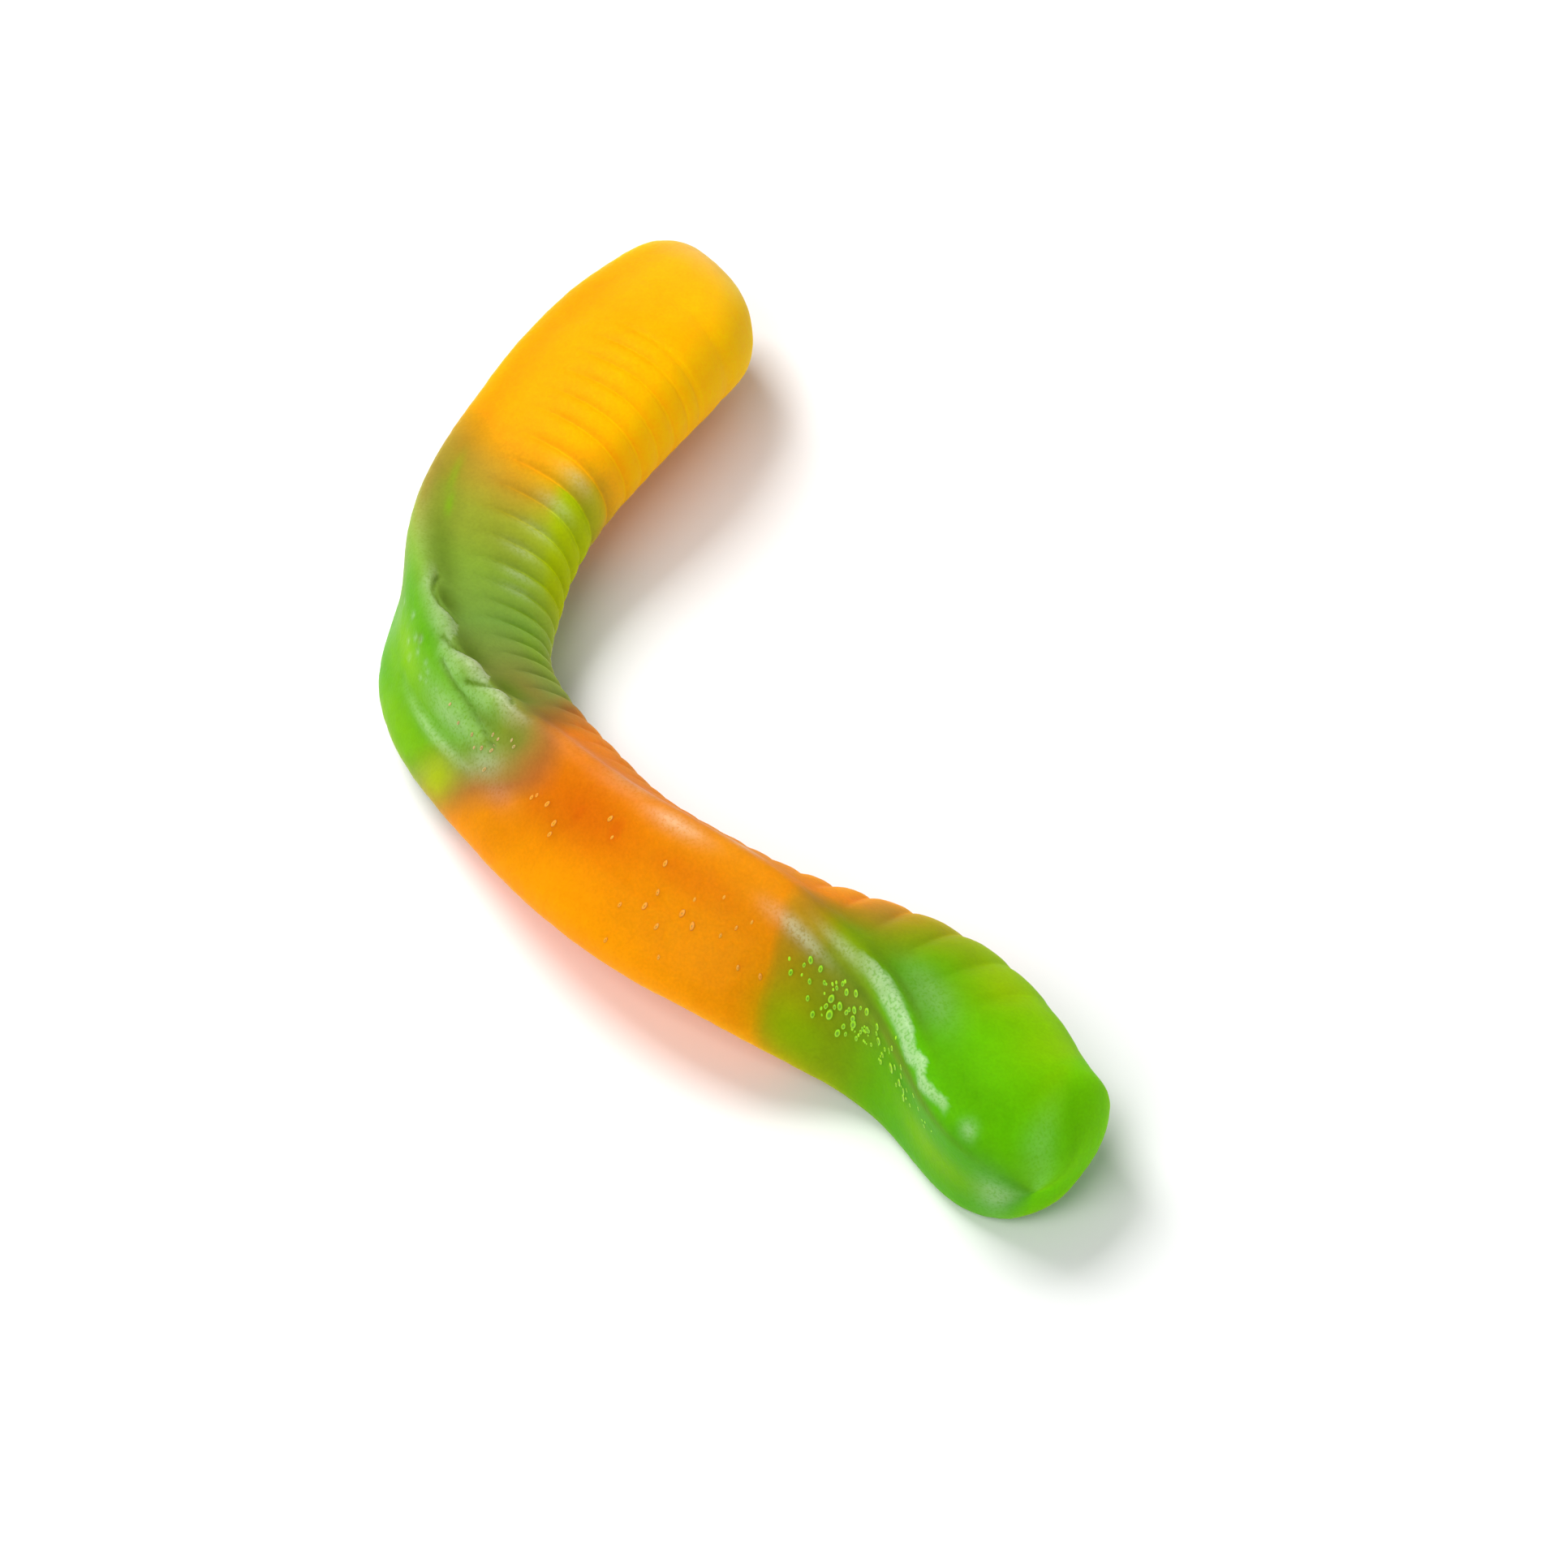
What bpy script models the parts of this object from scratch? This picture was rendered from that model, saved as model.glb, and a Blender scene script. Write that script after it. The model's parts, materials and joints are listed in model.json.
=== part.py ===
"""Gummy worm: one cast piece of soft fruit jelly, lying on its side in a loose S.

The sweet is poured into a mould that is open on one side. The mould gives it a deep, ridged
belly with blunt ends, and the open side dries to a flat back with a low lip on each edge.
Metres, +Z up. It rests on z = 0 with the origin under the middle of its box. The yellow end
points to the back, the green end to the front right, and the back leans to the left (-X).
"""
import math

import bmesh
import bpy
import numpy as np
from mathutils import Vector

MM = 0.001

# The body, in millimetres
LENGTH = 93.5
HALF_WIDTH = 5.0        # half the width of the flat back, where the girth is 1
BACK_RISE = 2.0         # from the widest line out to the back
BELLY_DEPTH = 9.3       # from the widest line to the bottom of the belly
BACK_POWER = 3.4        # how square the section is towards the back
BELLY_POWER = 2.35      # and towards the belly, where 2 would be an ellipse
END_LENGTH = (5.5, 7.5)  # the stretch over which each end closes, yellow end first
END_POWER = (2.6, 2.4)   # how blunt each end is
SUNK = 0.15             # the soft belly is flattened by this much where it lies

# What changes along the body: (millimetres from the yellow end, value)
START = (-1.8, 36.0)                                    # the yellow end, seen from above
HEADING = ((0, -136), (12, -124), (24, -120), (34, -93), (44, -59),
           (54, -53), (64, -37), (74, -28), (84, -64), (93.5, -14))      # degrees from +X
GIRTH = ((0, 0.84), (12, 1.00), (24, 0.91), (34, 0.89), (44, 0.87),
         (54, 0.93), (64, 0.99), (74, 0.97), (84, 0.97), (93.5, 0.82))
LEAN = ((0, 108), (20, 114), (28, 96), (37, 68), (44, 60), (52, 48), (62, 40),
        (69, 44), (75, 66), (80, 82), (86, 92), (93.5, 98))              # of the back, degrees
END_SKEW = (-14, -22)                                   # slant of each end, degrees
SKEW_REACH = 14.0                                       # how far in from the end it is felt
TIP_SWELL = 0.35                                        # of the last step, to the closing point

# The ridges that the mould leaves across the belly, from the yellow end: (how many, how wide)
RIDGE_START = 3.7
RIDGES = ((1, 3.3), (1, 4.6), (5, 1.6), (32, 2.0))
RIDGE_DEPTH = 0.34
RIDGE_STRENGTH = ((0, 0), (4, 0.3), (10, 0.7), (20, 0.8), (40, 0.75), (60, 0.85),
                  (74, 0.8), (80, 0.5), (86, 0.0), (93.5, 0))
# and the heights on the section where they begin and where they are full
RIDGE_NONE = ((0, -3.0), (20, -3.0), (34, -1.8), (60, -0.8), (93.5, -0.8))
RIDGE_FULL = ((0, -7.5), (20, -7.0), (34, -6.2), (60, -4.4), (93.5, -4.4))
RIDGE_DROP = 3.5                                        # lower by this on the near side
DROP_REACH = 3.0                                        # which begins this far from the middle

# The back's shallow trough, and the lip along each of its edges with a gutter under it
TROUGH_DEPTH = 0.6
TROUGH_HALF = 0.8                                       # of the half width
TROUGH_STRENGTH = ((0, 0.3), (20, 0.5), (40, 0.6), (60, 0.3), (70, 0.5), (80, 0.7),
                   (88, 0.5), (93.5, 0.0))
LIP_PLACE = 5.1                                         # round the section from the back's middle
LIP_HEIGHT = 0.32
LIP_WIDTH = 0.75
LIP_STRENGTH = ((0, 0.2), (20, 0.4), (34, 0.7), (50, 0.7), (58, 0.4), (68, 0.4),
                (77, 0.75), (87, 0.4), (93.5, 0.0))
GUTTER_PLACE = 7.2
GUTTER_DEPTH = 0.22
GUTTER_WIDTH = 1.2

# Folds where the bend squeezes the upper lip: from and to, each (along, around), depth, width
FOLD_TAPER = 0.15                                       # of a half wave, at both ends of a fold
FOLDS = (
    ((40.0, 4.3), (44.0, 7.2), 0.25, 0.55),
    ((43.6, 4.0), (47.4, 6.8), 0.25, 0.55),
    ((44.0, 3.7), (48.8, 2.0), 0.25, 0.70),
    ((47.2, 4.4), (51.6, 7.4), 0.15, 0.60),
)

# How finely the surface is cut up
AROUND = 30                                             # points round each section
LIP_FINENESS = 2.1                                      # times as many of them near a lip
LIP_REACH = 2.2                                         # as far as this on both sides of it
END_RINGS = 9
RIDGE_PHASES = (0.0, 0.2, 0.5, 0.8)                     # of the way over each ridge
WIDEST_STEP = 0.9                                       # between rings where no ridge sets it
SECTION_STEPS = 4000                                    # for measuring round the section

# Colours of the jelly, and where each begins along the body
YELLOW = "#FCB403"
GREEN = "#7DB81E"
ORANGE = "#F08C08"
BANDS = ((0.0, "yellow_jelly", YELLOW), (22.0, "green_jelly", GREEN),
         (49.0, "orange_jelly", ORANGE), (72.0, "green_jelly", GREEN))


def smooth_value(stations, along):
    """The value at a place along the body, on a smooth curve through the stations."""
    places = np.array([place for place, _ in stations], float)
    values = np.array([value for _, value in stations], float)
    slopes = np.gradient(values, places)
    along = np.clip(np.asarray(along, float), places[0], places[-1])
    i = np.clip(np.searchsorted(places, along, side="right") - 1, 0, len(places) - 2)
    gap = places[i + 1] - places[i]
    t = (along - places[i]) / gap
    return ((2 * t**3 - 3 * t**2 + 1) * values[i] + (t**3 - 2 * t**2 + t) * gap * slopes[i]
            + (3 * t**2 - 2 * t**3) * values[i + 1] + (t**3 - t**2) * gap * slopes[i + 1])


def soft_step(low, high, value):
    """0 at low, 1 at high, and a smooth rise between."""
    t = np.clip((value - low) / (high - low), 0, 1)
    return t * t * (3 - 2 * t)


def route(along, step=0.05):
    """Points and directions of the body's middle line, by walking along the headings."""
    walked = np.arange(0, LENGTH + step, step)
    turn = np.radians(smooth_value(HEADING, walked))
    ways = np.stack([np.cos(turn), np.sin(turn)], -1)
    points = np.vstack([[0, 0], np.cumsum((ways[:-1] + ways[1:]) / 2 * step, axis=0)]) + START
    middle = np.stack([np.interp(along, walked, points[:, i]) for i in (0, 1)], -1)
    turn = np.radians(smooth_value(HEADING, along))
    return middle, np.stack([np.cos(turn), np.sin(turn)], -1)


def section():
    """Points round the section: across, out of the back, and round from the back's middle."""
    turn = np.linspace(0, 2 * math.pi, SECTION_STEPS)
    up, side = np.cos(turn), np.sin(turn)
    power = np.where(up > 0, BACK_POWER, BELLY_POWER)
    across = HALF_WIDTH * np.sign(side) * np.abs(side) ** (2 / power)
    out = np.sign(up) * np.abs(up) ** (2 / power) * np.where(up > 0, BACK_RISE, BELLY_DEPTH)
    steps = np.hypot(np.diff(across), np.diff(out))
    around = np.concatenate([[0], np.cumsum(steps)])
    girth = around[-1]
    from_lip = np.minimum(abs(around - LIP_PLACE), abs(girth - around - LIP_PLACE))
    weight = 1 + (LIP_FINENESS - 1) * np.exp(-(from_lip / LIP_REACH) ** 2)
    spent = np.concatenate([[0], np.cumsum(steps * (weight[1:] + weight[:-1]) / 2)])
    places = np.linspace(0, spent[-1], AROUND, endpoint=False)
    across, out, around = (np.interp(places, spent, line) for line in (across, out, around))
    return across, out, np.where(around > girth / 2, around - girth, around)


def grooves():
    """Places along the body of the grooves between the ridges."""
    widths = [width for count, width in RIDGES for _ in range(count)]
    return RIDGE_START + np.concatenate([[0], np.cumsum(widths)])


def ring_places():
    """Where the rings of points lie along the body: close at the ends, in step with the ridges."""
    turn = np.linspace(0, math.pi / 2, END_RINGS + 1)[1:]
    ends = [length * (1 - np.cos(turn) ** (2 / power))
            for length, power in zip(END_LENGTH, END_POWER)]
    places = list(ends[0])
    for near, far in zip(grooves(), grooves()[1:]):
        places += [near + (far - near) * phase for phase in RIDGE_PHASES if near > END_LENGTH[0]]
    places += list(LENGTH - ends[1][::-1])
    gaps = [(near, far) for near, far in zip(places, places[1:]) if far - near > WIDEST_STEP]
    for near, far in gaps:
        places += list(np.linspace(near, far, math.ceil((far - near) / WIDEST_STEP) + 1)[1:-1])
    return np.array(sorted(places))


def end_shrink(along):
    """How far the section has closed towards the nearer end, 1 where it is full."""
    shrink = 1.0
    for reach, length, power in zip((along, LENGTH - along), END_LENGTH, END_POWER):
        near = np.clip(1 - reach / length, 0, 1)
        shrink = shrink * (1 - near ** power) ** (1 / power)
    return shrink


def from_line(along, around, start, end):
    """Distance on the skin from a short straight stroke, and how far along the stroke it is."""
    run = (end[0] - start[0], end[1] - start[1])
    t = ((along - start[0]) * run[0] + (around - start[1]) * run[1]) / (run[0]**2 + run[1]**2)
    t = np.clip(t, 0, 1)
    return np.hypot(along - start[0] - t * run[0], around - start[1] - t * run[1]), t


def relief(along, across, out, around):
    """Height of the skin over the plain section: ridges, trough, lips and folds."""
    drop = RIDGE_DROP * soft_step(0, DROP_REACH, -across)
    fade = soft_step(smooth_value(RIDGE_NONE, along) - drop,
                     smooth_value(RIDGE_FULL, along) - drop, out)
    strength = smooth_value(RIDGE_STRENGTH, along) * fade
    phase = np.interp(along, grooves(), np.arange(len(grooves()))) % 1.0
    scallop = np.sqrt(np.clip(1 - (2 * phase - 1) ** 2, 0, 1))
    height = -RIDGE_DEPTH * strength * (1 - scallop)

    trough = np.clip(1 - (across / (TROUGH_HALF * HALF_WIDTH)) ** 2, 0, 1) ** 2
    height = height - TROUGH_DEPTH * trough * (out > 0) * smooth_value(TROUGH_STRENGTH, along)
    lip = LIP_HEIGHT * np.exp(-((abs(around) - LIP_PLACE) / LIP_WIDTH) ** 2)
    gutter = GUTTER_DEPTH * np.exp(-((abs(around) - GUTTER_PLACE) / GUTTER_WIDTH) ** 2)
    height = height + (lip - gutter) * smooth_value(LIP_STRENGTH, along)

    for start, end, depth, width in FOLDS:
        distance, t = from_line(along, around, start, end)
        fade = np.sin(math.pi * (FOLD_TAPER + (1 - 2 * FOLD_TAPER) * t))
        height = height - depth * fade * np.exp(-(distance / width) ** 2)
    return height


def skin_points():
    """The rings of points, one row a ring, in millimetres."""
    places = ring_places()
    across, out, around = section()
    middle, way = route(places)
    along = places[:, None]
    girth = smooth_value(GIRTH, along)
    shrink = end_shrink(along)

    # the relief moves each point straight out of the section
    slope = np.stack([np.roll(out, 1) - np.roll(out, -1), np.roll(across, -1) - np.roll(across, 1)], -1)
    normal = slope / np.linalg.norm(slope, axis=1)[:, None]
    height = relief(along, across[None], out[None], around[None]) * shrink
    wide = across[None] * girth + normal[None, :, 0] * height
    deep = out[None] * girth + normal[None, :, 1] * height

    # the ends close round the middle of the section's depth
    centre = (BACK_RISE - BELLY_DEPTH) / 2 * girth
    lean = np.radians(smooth_value(LEAN, along))
    full = np.cos(lean) * out[None] * girth + np.sin(lean) * across[None] * girth
    lift = -full.min(axis=1, keepdims=True) - SUNK
    wide = wide * shrink
    deep = centre + (deep - centre) * shrink
    high = np.maximum(np.cos(lean) * deep + np.sin(lean) * wide + lift, 0.0)
    aside = np.sin(lean) * deep - np.cos(lean) * wide

    # the slant of the ends pushes one side of the section on
    slant = sum(np.clip(1 - reach / SKEW_REACH, 0, 1) * math.tan(math.radians(angle))
                for angle, reach in zip(END_SKEW, (along, LENGTH - along)))
    left = np.stack([way[:, 1], -way[:, 0]], -1)
    floor = middle[:, None] + left[:, None] * aside[..., None]
    floor = floor + way[:, None] * (slant * aside)[..., None]
    return places, np.concatenate([floor, high[..., None]], -1)


def tip_points(points):
    """One point to close each end: the middle of the end ring, a little further out."""
    tips = []
    for ring, inner in ((points[0], points[1]), (points[-1], points[-2])):
        middle = ring.mean(axis=0)
        tips.append(middle + TIP_SWELL * (middle - inner.mean(axis=0)))
    return tips


def linear(channel):
    """One sRGB channel as a linear value."""
    return channel / 12.92 if channel <= 0.04045 else ((channel + 0.055) / 1.055) ** 2.4


def jelly(name, colour):
    """Soft fruit jelly: satin, with light that goes some way in."""
    material = bpy.data.materials.new(name)
    material.use_nodes = True
    shader = material.node_tree.nodes["Principled BSDF"]
    rgb = [linear(int(colour[i:i + 2], 16) / 255) for i in (1, 3, 5)]
    shader.inputs["Base Color"].default_value = (*rgb, 1)
    shader.inputs["Roughness"].default_value = 0.38
    shader.inputs["Metallic"].default_value = 0.0
    shader.inputs["Subsurface Weight"].default_value = 0.6
    shader.inputs["Subsurface Scale"].default_value = 0.003
    material.diffuse_color = (*rgb, 1)
    return material


def gummy_worm():
    """The worm as one closed skin, with a colour for each band."""
    places, points = skin_points()
    tips = tip_points(points)
    everything = np.concatenate([points.reshape(-1, 3), tips])
    low, high = everything.min(axis=0), everything.max(axis=0)
    origin = np.array([(low[0] + high[0]) / 2, (low[1] + high[1]) / 2, low[2]])

    bm = bmesh.new()
    rings = [[bm.verts.new(Vector((point - origin) * MM)) for point in ring] for ring in points]
    first, last = (bm.verts.new(Vector((tip - origin) * MM)) for tip in tips)
    starts = [start for start, _, _ in BANDS]
    for i, (near, far) in enumerate(zip(rings, rings[1:])):
        band = sum(start <= places[i] for start in starts) - 1
        for j in range(AROUND):
            k = (j + 1) % AROUND
            bm.faces.new((near[j], near[k], far[k], far[j])).material_index = band
    for j in range(AROUND):
        k = (j + 1) % AROUND
        bm.faces.new((first, rings[0][k], rings[0][j])).material_index = 0
        bm.faces.new((last, rings[-1][j], rings[-1][k])).material_index = len(BANDS) - 1
    bmesh.ops.recalc_face_normals(bm, faces=bm.faces)

    mesh = bpy.data.meshes.new("gummy_worm")
    bm.to_mesh(mesh)
    bm.free()
    mesh.shade_smooth()
    made = {}
    for _, name, colour in BANDS:
        made[name] = made.get(name) or jelly(name, colour)
        mesh.materials.append(made[name])
    worm = bpy.data.objects.new("gummy_worm", mesh)
    bpy.context.scene.collection.objects.link(worm)
    return worm


def main():
    for thing in list(bpy.data.objects):
        bpy.data.objects.remove(thing)
    gummy_worm()


main()
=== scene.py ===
# %% [markdown]
# # A gummy worm
#
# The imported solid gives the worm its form: a cast jelly sweet with a ridged belly, a flat back
# with a lip on each edge, and a loose S bend. This lesson gives it its looks. It lays out a
# camera and a soft light, makes a fine skin from the solid, presses the small creases into it,
# dyes it in soft bands and sets the air bubbles that were caught in the jelly.
#
# Sizes are in millimetres where a name is written in capitals, and `MM` turns them to metres.

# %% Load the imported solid
import json
import math

import bpy
import numpy as np
from mathutils import Matrix, Vector, kdtree

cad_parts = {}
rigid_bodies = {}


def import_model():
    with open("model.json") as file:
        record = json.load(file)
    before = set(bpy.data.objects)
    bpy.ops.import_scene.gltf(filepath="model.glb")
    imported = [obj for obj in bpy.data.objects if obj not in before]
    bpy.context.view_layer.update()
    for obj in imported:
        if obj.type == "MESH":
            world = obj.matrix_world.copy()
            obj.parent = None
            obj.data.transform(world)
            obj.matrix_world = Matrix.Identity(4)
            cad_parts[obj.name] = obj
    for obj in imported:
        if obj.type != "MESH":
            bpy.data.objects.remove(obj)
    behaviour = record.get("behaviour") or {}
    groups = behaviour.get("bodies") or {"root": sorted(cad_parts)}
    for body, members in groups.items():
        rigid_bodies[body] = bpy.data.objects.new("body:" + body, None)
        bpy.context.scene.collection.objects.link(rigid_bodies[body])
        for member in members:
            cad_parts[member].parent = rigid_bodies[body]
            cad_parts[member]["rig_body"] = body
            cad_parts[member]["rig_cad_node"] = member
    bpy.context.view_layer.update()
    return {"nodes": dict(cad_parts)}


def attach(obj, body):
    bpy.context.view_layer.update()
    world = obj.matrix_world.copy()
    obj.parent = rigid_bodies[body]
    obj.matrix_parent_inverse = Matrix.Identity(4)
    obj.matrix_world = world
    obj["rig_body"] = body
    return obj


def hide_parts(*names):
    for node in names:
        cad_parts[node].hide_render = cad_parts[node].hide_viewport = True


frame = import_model()

MM = 0.001

# %% [markdown]
# ## Where the camera stands
#
# The picture looks down on the sweet at a steep angle through a long lens, so that its far end
# is hardly smaller than its near end. The camera aims at a point on the floor and backs away
# from it along a line at that angle.

# %% Camera
AIM = (2.87, -2.10, 0.0)
ELEVATION = math.radians(50)
DISTANCE = 480.0
LENS = 184.4
SENSOR = 36.0
FARTHEST = 10000.0      # the camera sees no farther than this

away = Vector((0, -math.cos(ELEVATION), math.sin(ELEVATION)))
bpy.ops.object.camera_add(location=(Vector(AIM) + away * DISTANCE) * MM,
                          rotation=(math.pi / 2 - ELEVATION, 0, 0))
camera = bpy.context.object
camera.data.lens = LENS
camera.data.sensor_width = SENSOR
camera.data.clip_end = FARTHEST * MM
bpy.context.scene.camera = camera
print("camera at", tuple(round(c, 3) for c in camera.location))

# %% [markdown]
# ## Colours and nodes
#
# Colours are picked as sRGB hex codes, as a paint program shows them, and Blender's sockets
# want linear numbers. One small function turns them. Another adds a node, sets it and links
# its inputs, so that a material reads as a list of what goes into what.


# %% Helpers for colours and nodes
def linear(code):
    """An sRGB hex colour as linear red, green, blue and alpha."""
    channels = [int(code[i:i + 2], 16) / 255 for i in (1, 3, 5)]
    return (*[c / 12.92 if c <= 0.04045 else ((c + 0.055) / 1.055) ** 2.4 for c in channels], 1)


def add_node(tree, kind, inputs=(), **settings):
    """A node of this kind, its settings, and its inputs as values or as sockets to link."""
    node = tree.nodes.new("ShaderNode" + kind)
    for name, value in settings.items():
        setattr(node, name, value)
    for name, value in dict(inputs).items():
        if isinstance(value, bpy.types.NodeSocket):
            tree.links.new(value, node.inputs[name])
        else:
            node.inputs[name].default_value = value
    return node


def tidy_selection():
    """Nothing is selected, so that the next operator acts on its own piece alone."""
    if bpy.context.object and bpy.context.object.mode != "OBJECT":
        bpy.ops.object.mode_set(mode="OBJECT")
    bpy.ops.object.select_all(action="DESELECT")


# %% [markdown]
# ## The table
#
# The sweet lies on a clean white sweep. A plain matt sheet does, large enough that its edge
# stays out of every view.

# %% Floor
FLOOR_SIZE = 6000.0

tidy_selection()
bpy.ops.mesh.primitive_plane_add(size=FLOOR_SIZE * MM)
floor = bpy.context.object
floor.name = "floor"
paper = bpy.data.materials.new("matt_white_paper")
paper.use_nodes = True
paper_shader = paper.node_tree.nodes["Principled BSDF"]
paper_shader.inputs["Base Color"].default_value = linear("#FAFAFA")
paper_shader.inputs["Roughness"].default_value = 0.9
paper_shader.inputs["Specular IOR Level"].default_value = 0.1
floor.data.materials.append(paper)
print("floor", FLOOR_SIZE * MM, "m wide")

# %% [markdown]
# ## The light
#
# A studio picture of sweets is lit by a soft box overhead, a little behind and to the left, by a
# larger and weaker one in front, and by white walls all round. The first box gives the satin
# highlights on the upper lip and the shadows that fade out to the right, and the second keeps
# the near side from going dull. The walls are the world's even white.

# %% Lights
# each box's place, its width in millimetres and its power in watts
SOFT_BOXES = (((-160.0, 150.0, 320.0), 190.0, 1.25),
              ((-150.0, -220.0, 300.0), 240.0, 0.72))
WALLS = 0.33

world = bpy.data.worlds.new("white_walls")
world.use_nodes = True
world.node_tree.nodes["Background"].inputs["Color"].default_value = (1, 1, 1, 1)
world.node_tree.nodes["Background"].inputs["Strength"].default_value = WALLS
bpy.context.scene.world = world

for place, size, power in SOFT_BOXES:
    place = Vector(place)
    bpy.ops.object.light_add(type="AREA", location=place * MM,
                             rotation=(-place).to_track_quat("-Z", "Y").to_euler())
    soft_box = bpy.context.object
    soft_box.data.shape = "SQUARE"
    soft_box.data.size = size * MM
    soft_box.data.energy = power
    print("soft box", round(place.length), "mm away,", power, "W")
bpy.context.scene.view_settings.view_transform = "Standard"

# %% [markdown]
# ## A fine skin
#
# The solid's surface is cut into small flat triangles, enough for its form but not for satin
# highlights. A copy of it is welded, its triangles are joined to four-sided faces, and two
# rounds of subdivision make it smooth. The copy stands for the solid, which isn't shown.


# %% Skin from the solid
WELD = 0.001
MOST_BENT = math.radians(50)    # two triangles that bend more than this stay apart
MOST_SKEW = math.radians(60)    # and so do two that would make a more slanted face
ROUNDS = 2


def skin_of(solid, name):
    """A welded, subdivided copy of the solid, free of the solid's own labels."""
    tidy_selection()
    solid.select_set(True)
    bpy.context.view_layer.objects.active = solid
    bpy.ops.object.duplicate()
    skin = bpy.context.object
    skin.name = name
    skin.parent = None
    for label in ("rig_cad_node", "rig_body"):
        del skin[label]
    skin.data.materials.clear()
    bpy.ops.object.mode_set(mode="EDIT")
    bpy.ops.mesh.select_all(action="SELECT")
    bpy.ops.mesh.remove_doubles(threshold=WELD * MM)
    bpy.ops.mesh.tris_convert_to_quads(face_threshold=MOST_BENT, shape_threshold=MOST_SKEW)
    bpy.ops.mesh.normals_make_consistent(inside=False)
    bpy.ops.object.mode_set(mode="OBJECT")
    quads = sum(len(face.vertices) == 4 for face in skin.data.polygons)
    print(name, "welded:", len(skin.data.polygons), "faces,", quads, "of them four-sided")
    smooth = skin.modifiers.new("smooth", "SUBSURF")
    smooth.levels = smooth.render_levels = ROUNDS
    bpy.ops.object.modifier_apply(modifier=smooth.name)
    bpy.ops.object.shade_smooth()
    return skin


worm = skin_of(frame["nodes"]["gummy_worm"], "worm_skin")
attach(worm, "root")
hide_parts("gummy_worm")
print("skin:", len(worm.data.vertices), "points")

# %% [markdown]
# ## Places on the body
#
# Creases, dye and bubbles follow the body, not the room, so each point of the skin gets a place
# on the body: how far it lies along the worm from the yellow end, how far round from the middle
# of the back, and how far out of the section. The middle line is walked again from the headings
# that shaped the solid, and each point looks up the nearest step of it.

# %% The body's middle line
LENGTH = 93.5
HALF_WIDTH = 5.0
BACK_RISE = 2.0
BELLY_DEPTH = 9.3
BACK_POWER = 3.4
BELLY_POWER = 2.35
SUNK = 0.15
START = (-1.69, 35.83)
HEADING = ((0, -136), (12, -124), (24, -120), (34, -93), (44, -59),
           (54, -53), (64, -37), (74, -28), (84, -64), (93.5, -14))
GIRTH = ((0, 0.84), (12, 1.00), (24, 0.91), (34, 0.89), (44, 0.87),
         (54, 0.93), (64, 0.99), (74, 0.97), (84, 0.97), (93.5, 0.82))
LEAN = ((0, 108), (20, 114), (28, 96), (37, 68), (44, 60), (52, 48), (62, 40),
        (69, 44), (75, 66), (80, 82), (86, 92), (93.5, 98))
STEP = 0.05


def smooth_value(stations, along):
    """The value at a place along the body, on a smooth curve through the stations."""
    places = np.array([place for place, _ in stations], float)
    values = np.array([value for _, value in stations], float)
    slopes = np.gradient(values, places)
    along = np.clip(np.asarray(along, float), places[0], places[-1])
    i = np.clip(np.searchsorted(places, along, side="right") - 1, 0, len(places) - 2)
    gap = places[i + 1] - places[i]
    t = (along - places[i]) / gap
    return ((2 * t**3 - 3 * t**2 + 1) * values[i] + (t**3 - 2 * t**2 + t) * gap * slopes[i]
            + (3 * t**2 - 2 * t**3) * values[i + 1] + (t**3 - t**2) * gap * slopes[i + 1])


walked = np.arange(0, LENGTH + STEP, STEP)
turn = np.radians(smooth_value(HEADING, walked))
ways = np.stack([np.cos(turn), np.sin(turn)], -1)
middle = np.vstack([[0, 0], np.cumsum((ways[:-1] + ways[1:]) / 2 * STEP, axis=0)]) + START
print("middle line ends at", middle[-1].round(1), "mm")

# %% Each point's place on the body
ROUND_STEPS = 720


def section():
    """The plain section's outline: across, out of the back, and round from the back's middle."""
    angle = np.linspace(0, 2 * math.pi, ROUND_STEPS)
    up, side = np.cos(angle), np.sin(angle)
    power = np.where(up > 0, BACK_POWER, BELLY_POWER)
    across = HALF_WIDTH * np.sign(side) * np.abs(side) ** (2 / power)
    out = np.sign(up) * np.abs(up) ** (2 / power) * np.where(up > 0, BACK_RISE, BELLY_DEPTH)
    around = np.concatenate([[0], np.cumsum(np.hypot(np.diff(across), np.diff(out)))])
    return across, out, np.where(around > around[-1] / 2, around - around[-1], around)


def places_on_body(points):
    """For points in millimetres: along, around and out, in millimetres."""
    tree = kdtree.KDTree(len(walked))
    for i, (x, y) in enumerate(middle):
        tree.insert((x, y, 0), i)
    tree.balance()
    step = np.array([tree.find((x, y, 0))[1] for x, y, _ in points])
    along = walked[step]
    girth, lean = smooth_value(GIRTH, along), np.radians(smooth_value(LEAN, along))
    across, out, around = section()
    lowest = (np.cos(lean)[:, None] * out + np.sin(lean)[:, None] * across).min(axis=1)
    high = points[:, 2] + lowest * girth + SUNK
    offset = points[:, :2] - middle[step]
    aside = offset[:, 0] * ways[step, 1] - offset[:, 1] * ways[step, 0]
    deep = (np.cos(lean) * high + np.sin(lean) * aside) / girth
    wide = (np.sin(lean) * high - np.cos(lean) * aside) / girth
    order = np.argsort(np.arctan2(across, out))
    around = np.interp(np.arctan2(wide, deep), np.arctan2(across, out)[order], around[order])
    return along, around, deep


def points_of(piece):
    """The piece's points in millimetres, one row each."""
    flat = np.empty(len(piece.data.vertices) * 3)
    piece.data.vertices.foreach_get("co", flat)
    return flat.reshape(-1, 3) / MM


along, around, out = places_on_body(points_of(worm))
print("along %.1f to %.1f mm" % (along.min(), along.max()))
print("round %.1f to %.1f mm" % (around.min(), around.max()))

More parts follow.
